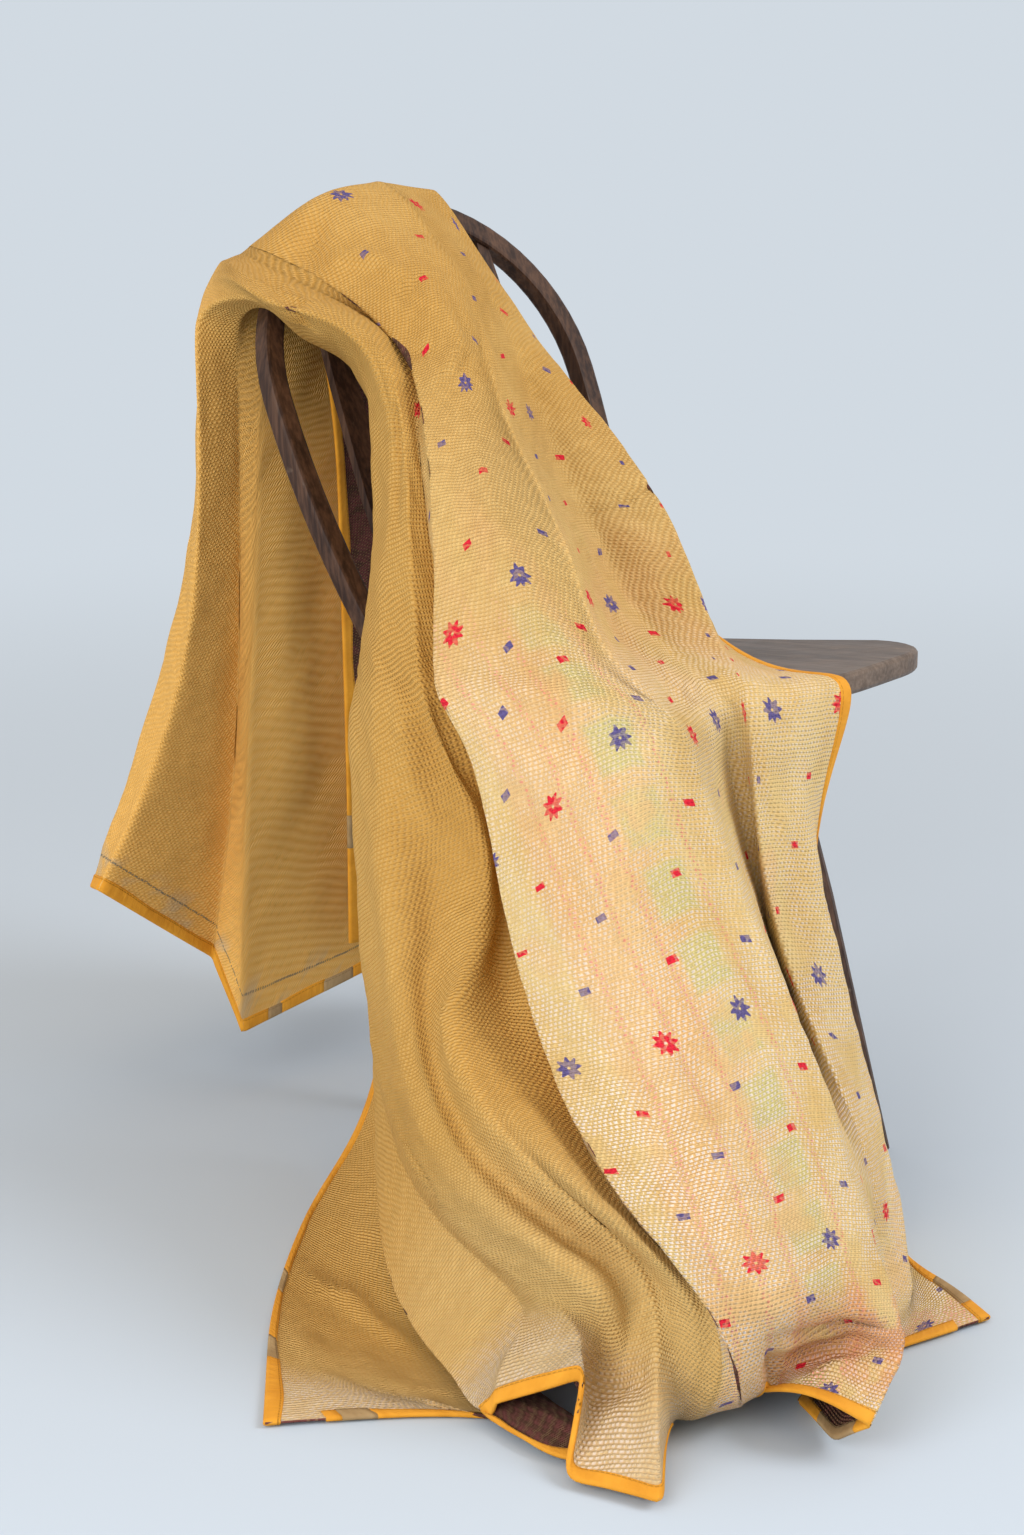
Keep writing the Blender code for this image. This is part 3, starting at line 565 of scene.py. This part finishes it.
# Where each edge is mended: from and to, in millimetres along it.
MENDS = {
    "near": ((95, 125), (1780, 1815), (1900, 1935)),
    "far": ((1740, 1780), (1960, 2010)),
    "back": ((330, 365), (420, 435)),
    "front": ((12, 35), (120, 165), (960, 1010)),
}
BINDING_STEP = 0.004
EDGE_ROWS = 9


def edge_strip(places, normals, edge):
    """The points near one edge, as rows running in from it, each along the edge."""
    if edge in ("near", "far"):
        places, normals = places.transpose(1, 0, 2), normals.transpose(1, 0, 2)
    if edge in ("far", "front"):
        places, normals = places[::-1], normals[::-1]
    return places[:EDGE_ROWS], normals[:EDGE_ROWS]


def section_places(strip, off, order, thick):
    """The binding's section at each point along the edge."""
    count = strip.shape[1]
    inward = np.concatenate((np.zeros((1, count)),
                             np.cumsum(np.linalg.norm(np.diff(strip, axis=0), axis=2), axis=0)))

    def inside(values, column, reach):
        return np.array([np.interp(max(reach, 0), inward[:, column], values[:, column, part])
                         for part in range(3)])

    rings = np.empty((count, len(BINDING_SECTION), 3))
    for column in range(count):
        uneven = 1 + 0.07 * order[column]
        for number, (away, height) in enumerate(BINDING_SECTION):
            reach = away * MM * (uneven if away > 3 else 1)
            place = inside(strip, column, reach)
            if reach < 0:
                first = strip[1, column] - strip[0, column]
                place = place + reach * first / np.linalg.norm(first)
            normal = inside(off, column, reach)
            rings[column, number] = place + height * thick * MM * normal / np.linalg.norm(normal)
    return rings


def along_edge(rows, length, wanted):
    """The rows' values at the wanted lengths along the edge."""
    return np.stack([[np.interp(wanted, length, row[:, part]) for part in range(3)]
                     for row in rows]).transpose(0, 2, 1)


def bound_edge(edge, places, normals):
    """The binding on one edge and its mends, as two pieces."""
    strip, off = edge_strip(places, normals, edge)
    if edge in ("back", "front"):
        inside = 3
        strip, off = strip[:, inside:-inside], off[:, inside:-inside]
    steps = np.linalg.norm(np.diff(strip[0], axis=0), axis=1)
    length = np.concatenate(([0], np.cumsum(steps)))
    stops = [0.0]
    for first, last in MENDS[edge]:
        stops += [first * MM, last * MM]
    stops.append(length[-1])
    made = []
    for kind, thick in (("binding", 1.0), ("mends", 1.12)):
        points, faces, across, along = [], [], [], []
        for number, (first, last) in enumerate(zip(stops, stops[1:])):
            if (number % 2 == 1) != (kind == "mends") or last - first < 0.002:
                continue
            if kind == "mends":
                first, last = first - 0.001, last + 0.001
            count = max(int((last - first) / BINDING_STEP), 3)
            wanted = np.linspace(max(first, 0), min(last, length[-1]), count)
            wave = np.sin(wanted / 0.031 + number) + 0.6 * np.sin(wanted / 0.0117)
            swell = (1 + 0.06 * np.sin(wanted / 0.0021)).mean()
            rings = section_places(along_edge(strip, length, wanted),
                                   along_edge(off, length, wanted), wave, thick * swell)
            base, size = len(points), len(BINDING_SECTION)
            points += [point for ring in rings for point in ring]
            across += [away * MM for _ in rings for away, _ in BINDING_SECTION]
            along += [place for place in wanted for _ in BINDING_SECTION]
            for ring in range(count - 1):
                for side in range(size):
                    here, after = base + ring * size + side, base + ring * size + (side + 1) % size
                    faces.append((here, after, after + size, here + size))
            faces.append(tuple(base + side for side in range(size))[::-1])
            faces.append(tuple(base + (count - 1) * size + side for side in range(size)))
        points = np.array(points)
        points[:, 2] = np.maximum(points[:, 2], 0.0002)
        piece = new_piece(f"{edge}_{kind}", points + np.array(CHAIR), faces)
        model = bmesh.new()
        model.from_mesh(piece.data)
        bmesh.ops.recalc_face_normals(model, faces=model.faces[:])
        model.to_mesh(piece.data)
        model.free()
        give_flat_places(piece, np.array(across), np.array(along))
        piece.data.materials.append(FINISHES[kind])
        made.append(piece)
    return made


# ---- finishes ----
class Value:
    """A shader socket that takes part in arithmetic."""

    def __init__(self, finish, socket):
        self.finish, self.socket = finish, socket

    def using(self, operation, *others):
        node = self.finish.add("ShaderNodeMath", {"operation": operation}, self, *others)
        return Value(self.finish, node.outputs[0])

    def __add__(self, other):
        return self.using("ADD", other)

    def __sub__(self, other):
        return self.using("SUBTRACT", other)

    def __mul__(self, other):
        return self.using("MULTIPLY", other)

    def __truediv__(self, other):
        return self.using("DIVIDE", other)

    def __rsub__(self, other):
        return self.using("MULTIPLY_ADD", -1.0, other)

    def __rtruediv__(self, other):
        return self.using("POWER", -1.0) * other

    __radd__, __rmul__ = __add__, __mul__

    def floor(self):
        return self.using("FLOOR")

    def part(self):
        return self.using("FRACT")

    def size(self):
        return self.using("ABSOLUTE")

    def sine(self):
        return self.using("SINE")

    def root(self):
        return self.using("SQRT")

    def most(self, other):
        return self.using("MAXIMUM", other)

    def least(self, other):
        return self.using("MINIMUM", other)

    def odd(self):
        """0 on even whole numbers and 1 on odd ones."""
        return (self * 0.5).part() * 2

    def between(self, low, high):
        """0 below low, 1 above high, smooth between them; low above high turns it round."""
        node = self.finish.add("ShaderNodeMapRange", {"interpolation_type": "SMOOTHSTEP"},
                               self, low, high)
        return Value(self.finish, node.outputs[0])


class Finish:
    """A material with its nodes, each made by one method."""

    def __init__(self, name, roughness, specular=0.3):
        self.material = bpy.data.materials.new(name)
        self.material.use_nodes = True
        self.tree = self.material.node_tree
        self.shader = self.tree.nodes["Principled BSDF"]
        self.shader.inputs["Roughness"].default_value = roughness
        self.shader.inputs["Specular IOR Level"].default_value = specular
        FINISHES[name] = self.material

    def add(self, kind, settings, *values, **named):
        node = self.tree.nodes.new(kind)
        for setting, value in settings.items():
            setattr(node, setting, value)
        by_name = [(node.inputs[key], value) for key, value in named.items()]
        for socket, value in list(zip(node.inputs, values)) + by_name:
            if isinstance(value, Value):
                self.tree.links.new(value.socket, socket)
            elif value is not None:
                socket.default_value = value
        return node

    def flat_places(self, name="flat"):
        node = self.add("ShaderNodeUVMap", {"uv_map": name})
        split = self.add("ShaderNodeSeparateXYZ", {}, Value(self, node.outputs[0]))
        return Value(self, split.outputs[0]), Value(self, split.outputs[1])

    def object_places(self):
        node = self.add("ShaderNodeTexCoord", {})
        split = self.add("ShaderNodeSeparateXYZ", {}, Value(self, node.outputs["Object"]))
        return [Value(self, output) for output in split.outputs]

    def attribute(self, name):
        node = self.add("ShaderNodeAttribute", {"attribute_name": name})
        return Value(self, node.outputs["Fac"])

    def place(self, x, y, z=0.0):
        return Value(self, self.add("ShaderNodeCombineXYZ", {}, x, y, z).outputs[0])

    def noise(self, place, scale, detail=2.0, rough=0.5):
        node = self.add("ShaderNodeTexNoise", {}, Vector=place, Scale=scale, Detail=detail,
                        Roughness=rough)
        return Value(self, node.outputs[0])

    def mix(self, share, first, second):
        node = self.add("ShaderNodeMix", {"data_type": "RGBA"})
        for key, value in ((0, share), (6, first), (7, second)):
            if isinstance(value, Value):
                self.tree.links.new(value.socket, node.inputs[key])
            elif key == 0:
                node.inputs[key].default_value = value
            else:
                node.inputs[key].default_value = (*value, 1)
        return Value(self, node.outputs[2])

    def tint(self, name, value):
        """Gives one of the shader's colours a fixed value or a worked-out one."""
        if isinstance(value, Value):
            self.tree.links.new(value.socket, self.shader.inputs[name])
        else:
            self.shader.inputs[name].default_value = (*value, 1)

    def colour(self, value):
        self.tint("Base Color", value)

    def bump(self, *heights):
        """Relief from heights in metres, laid one over another."""
        below = None
        for height in heights:
            node = self.add("ShaderNodeBump", {}, Height=height, Distance=1.0, Strength=1.0,
                            Normal=below)
            below = Value(self, node.outputs[0])
        self.tree.links.new(below.socket, self.shader.inputs["Normal"])

    def glow(self, value):
        self.tint("Emission Color", value)
        self.shader.inputs["Emission Strength"].default_value = 1.0

    def rough(self, value):
        self.tree.links.new(value.socket, self.shader.inputs["Roughness"])


FINISHES = {}
STRAW = (0.690, 0.425, 0.125)
STRAW_DEEP = (0.590, 0.330, 0.078)
STRAW_SHADE = (0.420, 0.215, 0.040)
STRAW_PALE = (0.770, 0.600, 0.290)
# painted light: a brighter gold, laid over the back panels
PAINTED_LIGHT_GOLD = (0.880, 0.500, 0.130)
RUST = (0.620, 0.150, 0.080)
WORN_GREY = (0.520, 0.420, 0.360)
FADED = (0.420, 0.420, 0.360)
DARK_THREAD = (0.060, 0.100, 0.110)
BACKDROP = (0.640, 0.700, 0.760)
BLACK = (0.0, 0.0, 0.0)
PEACH = (0.780, 0.420, 0.230)
PINK = (0.760, 0.190, 0.170)
LEAF = (0.520, 0.560, 0.230)
LILAC = (0.860, 0.830, 0.880)
CRIMSON = (0.700, 0.010, 0.040)
VIOLET = (0.095, 0.080, 0.270)
# The running stitch: from row to row, and from stitch to stitch.
STITCH_ROW = 0.0034
STITCH = 0.0043


def stitch_relief(finish, across, along):
    """Rows of running stitches across the cloth and the puckers between them; height in metres."""
    drift = finish.noise(finish.place(across, along), 22.0, 2.0) - 0.5
    fine = finish.noise(finish.place(across, along), 90.0, 1.0) - 0.5
    row = along / STITCH_ROW + drift * 2.0
    step = across / STITCH + (row.floor() * 0.382).part() + drift * 2.4 + fine * 0.8
    ridges = (row * (2 * pi)).sine()
    puckers = (step * (2 * pi)).sine()
    height = ridges * 0.00050 + puckers * 0.00040 + fine * 0.0009 + ridges * puckers * 0.00030
    return height, row, step, fine


def petals(x, y):
    """An eight-petalled woven star, from its own place in millimetres."""
    distance = (x * x + y * y).root()
    upright = x.size().least(y.size())
    slant = (x + y).size().least((x - y).size()) * 0.7071
    petal = 2.3 - (distance - 6.2).size() * 0.42
    shape = (upright.least(slant) - petal).between(0.5, 0.0)
    return shape * distance.between(11.0, 10.2) * distance.between(0.9, 1.6)


def motifs(finish, across, along, fine):
    """Woven stars and small blocks on a regular lattice: shares of crimson and of violet."""
    quarter = STAR_ALONG / 4
    level = (along - STAR_START) / quarter + 0.5
    line = level.floor()
    place = (across + STAR_COLUMN) / STAR_ACROSS + line.odd() * 0.5 + 0.5
    column = place.floor()
    x = (place.part() - 0.5) * (STAR_ACROSS / MM) + fine * 2.2
    y = (level.part() - 0.5) * (quarter / MM) + fine * 2.2
    weave = (fine * 3.0).size().between(0.0, 0.25)
    star_line = (line * 0.25).part().between(0.1, 0.02)
    star = petals(x, y) * star_line
    block = x.size().between(4.9, 4.5) * y.size().between(3.2, 2.9) * (1 - star_line)
    woven = finish.attribute("woven")
    shape = star.most(block) * weave.most(0.72) * woven
    turn = ((line * 0.5).floor() + column).odd()
    return shape * turn.between(0.4, 0.6), shape * turn.between(0.6, 0.4)


def face_finish():
    """Gold cotton, faded in bands and worn to pale thread, with its stars and its stitches."""
    finish = Finish("face", 0.85, 0.12)
    across, along = finish.flat_places()
    flat = finish.place(across, along)
    height, row, step, fine = stitch_relief(finish, across, along)
    woven = finish.attribute("woven")
    cloud = finish.noise(flat, 5.0, 3.0, 0.6)
    blotch = finish.noise(flat, 17.0, 3.0, 0.6)
    patch = finish.noise(finish.place(across * 1.8, along), 9.0, 2.0, 0.5)
    dots = finish.noise(flat, 330.0, 0.0)
    low = along.between(-0.16, -0.02) * woven
    hem = finish.attribute("from_front").between(0.11, 0.03)
    high = along.between(-0.02, 0.36)
    edge = finish.attribute("from_back")
    # the back panels near the back hem: painted light there, a brighter gold over the dye where the
    # lamps leave them shaded; their stitch relief is also made softer
    back = edge.between(0.72, 0.58)
    stitch = ((step.part() - 0.5).size().between(0.36, 0.24)
              * (row.part() - 0.5).size().between(0.36, 0.22))
    # gold dye, worn to pale straw on the panel below the knee and along the hem
    colour = finish.mix(cloud.between(0.35, 0.68) * (0.35 + 0.65 * woven), STRAW_DEEP, STRAW)
    pale = (low * (0.50 + 0.40 * patch.between(0.35, 0.6))).most(hem * 0.75)
    pale = pale.most(along.between(-0.45, -0.20) * woven * 0.42)
    pale = pale.most(along.between(0.24, 0.42) * 0.40)
    # peach bands between the stripes, and green leaf blocks down the middle of the panel
    run = across + 0.030 * along
    band = (run + 0.118).size().between(0.060, 0.044)
    shoulder = (along + 0.10).size().between(0.16, 0.05) * woven
    peach = (low * band * (0.40 + 0.60 * cloud.between(0.30, 0.55))).most(
        shoulder * patch.between(0.42, 0.62) * 0.8).most(low * patch.between(0.56, 0.66) * 0.7)
    leaf_x = ((run + 0.062) / 0.021).size()
    leaf_y = ((along / 0.058).part() - 0.5).size() * 2.0
    leaf = leaf_x.most(leaf_y * 1.35).between(1.15, 0.75) * low * blotch.between(0.34, 0.52)
    # thin pink stripes, stitch by stitch, and worn thread
    stripe = ((run + 0.150).size().least((run + 0.118).size()).least((run + 0.092).size())).least(
        (run + 0.030).size()).between(0.0042, 0.0022)
    rose = stripe.most(hem * patch.between(0.52, 0.60)) * low * dots.between(0.42, 0.56) * stitch
    worn = (low * (0.40 + 0.45 * high) + hem * 0.75).least(1.0) * blotch.between(0.34, 0.54)
    rust = ((along - 0.55).size().between(0.08, 0.03) * (run + 0.02).size().between(0.09, 0.05)
            * blotch.between(0.36, 0.52) * woven)
    # a dark running line and a faded patch near the back hem
    dash = (step.part() - 0.5).size().between(0.40, 0.30)
    line = (edge - 0.034 + fine * 0.003).size().between(0.0016, 0.0008) * dash
    faded = edge.between(0.060, 0.030) * blotch.between(0.50, 0.62)
    # painted shade: the straw darkens where the stitch relief sinks between the stitches, less on
    # the panel below the knee
    painted_shade_in_stitch_hollows = (height * (1 / MM)).between(0.15, -0.9)
    crimson, violet = motifs(finish, *finish.flat_places("weave"), fine)
    # the layers over the dye, in order; the brighter gold on the back panels is painted light
    for share, tone in ((pale, STRAW_PALE), (back * 0.75, PAINTED_LIGHT_GOLD), (peach * 0.38, PEACH),
                        (leaf * 0.55, LEAF), (worn * stitch * dots.between(0.34, 0.46), LILAC),
                        (rose * 0.85, PINK), (rust * 0.50, RUST),
                        (hem * (1 - woven) * 0.40, WORN_GREY), (stitch * 0.22, STRAW_PALE),
                        (faded * 0.45, FADED), (line * 0.75, DARK_THREAD),
                        (painted_shade_in_stitch_hollows * (0.5 - 0.25 * low), STRAW_SHADE), (crimson * 0.98, CRIMSON),
                        (violet * 0.96, VIOLET)):
        colour = finish.mix(share, colour, tone)
    finish.colour(colour)
    finish.bump(height * (1 - 0.45 * back))


def reverse_finish():
    """The dark reverse, speckled with the straw thread of the stitches."""
    finish = Finish("reverse", 0.9, 0.15)
    across, along = finish.flat_places()
    flat = finish.place(across, along)
    height, row, step, _ = stitch_relief(finish, across, along)
    cloud = finish.noise(flat, 40.0, 3.0, 0.7)
    colour = finish.mix(cloud.between(0.40, 0.6), (0.085, 0.040, 0.026), (0.165, 0.055, 0.050))
    stitch = step.part().between(0.10, 0.22) * step.part().between(0.55, 0.42)
    thread = stitch * (row.part() - 0.5).size().between(0.30, 0.16)
    colour = finish.mix(thread * 0.5, colour, (0.36, 0.24, 0.12))
    finish.colour(colour)
    finish.bump(height)


def binding_finish(name, deep, pale):
    finish = Finish(name, 0.8, 0.22)
    across, along = finish.flat_places()
    flat = finish.place(across, along)
    cloud = finish.noise(flat, 26.0, 3.0, 0.6)
    weave = ((along / 0.0009) * (2 * pi)).sine() * ((across / 0.0009) * (2 * pi)).sine()
    pucker = finish.noise(finish.place(across * 0.35, along), 190.0, 1.0) - 0.5
    seam = (across - 0.0094).size().between(0.0007, 0.0002)
    dash = ((along / 0.0042).part() - 0.5).size().between(0.36, 0.28)
    colour = finish.mix(cloud.between(0.3, 0.7), deep, pale)
    colour = finish.mix(seam * dash * 0.5, colour, tuple(0.5 * part for part in deep))
    finish.colour(colour)
    finish.bump(weave * 0.00004 + pucker * 0.0011 - seam * 0.0004)


def wood_finish(name, dark, brown, along_axis, worn):
    finish = Finish(name, 0.45, 0.22)
    x, y, z = finish.object_places()
    stretch = {"x": (x * 0.06, y, z), "y": (x, y * 0.06, z), "z": (x, y, z * 0.06)}[along_axis]
    grain = finish.noise(finish.place(*stretch), 260.0, 3.0, 0.6)
    broad = finish.noise(finish.place(*stretch), 45.0, 2.0, 0.5)
    rub = finish.noise(finish.place(x, y, z), 28.0, 4.0, 0.7)
    share = grain.between(0.35, 0.7) * 0.6 + broad.between(0.4, 0.65) * 0.4
    colour = finish.mix(share, dark, brown)
    colour = finish.mix(rub.between(0.60, 0.72) * worn, colour, (0.30, 0.22, 0.16))
    finish.colour(colour)
    finish.rough(0.36 + 0.22 * rub)
    finish.bump(grain * 0.0004)


def floor_finish():
    """Pale paper, its far part glowing in the backdrop's colour so that it meets the backdrop
    without an edge.
    """
    finish = Finish("floor", 0.9, 0.0)
    x, y, _ = finish.object_places()
    far = (x * x + y * y).root().between(0.8, 3.6)
    finish.colour(finish.mix(far, (0.520, 0.615, 0.740), BLACK))
    finish.glow(finish.mix(far, BLACK, BACKDROP))


def backdrop_finish():
    finish = Finish("backdrop", 1.0, 0.0)
    finish.colour(BLACK)
    finish.glow(BACKDROP)


def make_finishes():
    face_finish()
    reverse_finish()
    binding_finish("binding", (0.640, 0.270, 0.018), (0.760, 0.350, 0.030))
    binding_finish("mends", (0.300, 0.195, 0.090), (0.430, 0.300, 0.150))
    wood_finish("dark wood", (0.026, 0.012, 0.008), (0.115, 0.058, 0.034), "z", 0.35)
    wood_finish("seat wood", (0.095, 0.068, 0.052), (0.190, 0.140, 0.108), "y", 0.5)
    floor_finish()
    backdrop_finish()


# ---- the room ----
def make_room():
    bpy.ops.object.select_all(action="DESELECT")
    bpy.ops.mesh.primitive_circle_add(vertices=96, radius=30, fill_type="NGON", location=(0, 0, 0))
    floor = bpy.context.object
    floor.name = "floor"
    floor.data.materials.append(FINISHES["floor"])
    world = bpy.data.worlds.new("room")
    world.use_nodes = True
    world.node_tree.nodes["Background"].inputs[0].default_value = (0.82, 0.73, 0.63, 1)
    world.node_tree.nodes["Background"].inputs[1].default_value = 0.98
    bpy.context.scene.world = world
    bpy.ops.mesh.primitive_uv_sphere_add(segments=48, ring_count=24, radius=29, location=(0, 0, 0))
    backdrop = bpy.context.object
    backdrop.name = "backdrop"
    backdrop.data.materials.append(FINISHES["backdrop"])
    backdrop.visible_diffuse = False
    backdrop.visible_shadow = False
    bpy.context.scene.view_settings.view_transform = "Standard"


def soft_light(name, place, towards, size, power, colour):
    light = bpy.data.lights.new(name, "AREA")
    light.shape = "DISK"
    light.size = size
    light.energy = power
    light.color = colour
    lamp = bpy.data.objects.new(name, light)
    bpy.context.collection.objects.link(lamp)
    lamp.location = Vector(place) + CHAIR
    lamp.rotation_euler = (Vector(towards) - Vector(place)).to_track_quat("-Z", "Y").to_euler()
    lamp.visible_camera = False


CAMERA_PLACE = Vector((-1.7554, -1.5690, 0.9109))
CAMERA_YAW = 0.7966
CAMERA_PITCH = -0.2392
# The picture's width and height, and the lens's focal length, all in pixels.
IMAGE = (1024, 1535)
FOCAL_PIXELS = 2753.6


def make_camera():
    data = bpy.data.cameras.new("camera")
    data.sensor_fit = "VERTICAL"
    data.sensor_height = 36
    data.lens = FOCAL_PIXELS / IMAGE[1] * data.sensor_height
    camera = bpy.data.objects.new("camera", data)
    bpy.context.collection.objects.link(camera)
    ahead = Vector((sin(CAMERA_YAW) * cos(CAMERA_PITCH), cos(CAMERA_YAW) * cos(CAMERA_PITCH),
                    sin(CAMERA_PITCH)))
    camera.location = CAMERA_PLACE + CHAIR
    camera.rotation_euler = ahead.to_track_quat("-Z", "Y").to_euler()
    bpy.context.scene.camera = camera


def dress_chair():
    for node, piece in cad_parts.items():
        if node.startswith("chair_"):
            finish = "seat wood" if node == "chair_seat" else "dark wood"
            for slot in piece.material_slots:
                slot.material = FINISHES[finish]


def main():
    make_camera()
    make_finishes()
    dress_chair()
    sheet = finished_sheet()
    cloth = make_cloth(sheet)
    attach(cloth, "root")
    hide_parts("quilt")
    for edge in ("near", "far", "back", "front"):
        for piece in bound_edge(edge, sheet.places, sheet.normals):
            kind = "mend" if piece.name.endswith("mends") else "binding"
            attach(piece, "root")
            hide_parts(*[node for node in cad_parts
                                 if node.startswith(f"{kind}_{edge}_")])
    make_room()
    soft_light("window", (1.3, -2.9, 2.7), (0, 0, 0.4), 2.2, 82, (1.0, 0.99, 0.98))
    soft_light("fill", (-3.1, -0.6, 1.3), (0, 0, 0.5), 2.6, 66, (1.0, 0.98, 0.95))


main()
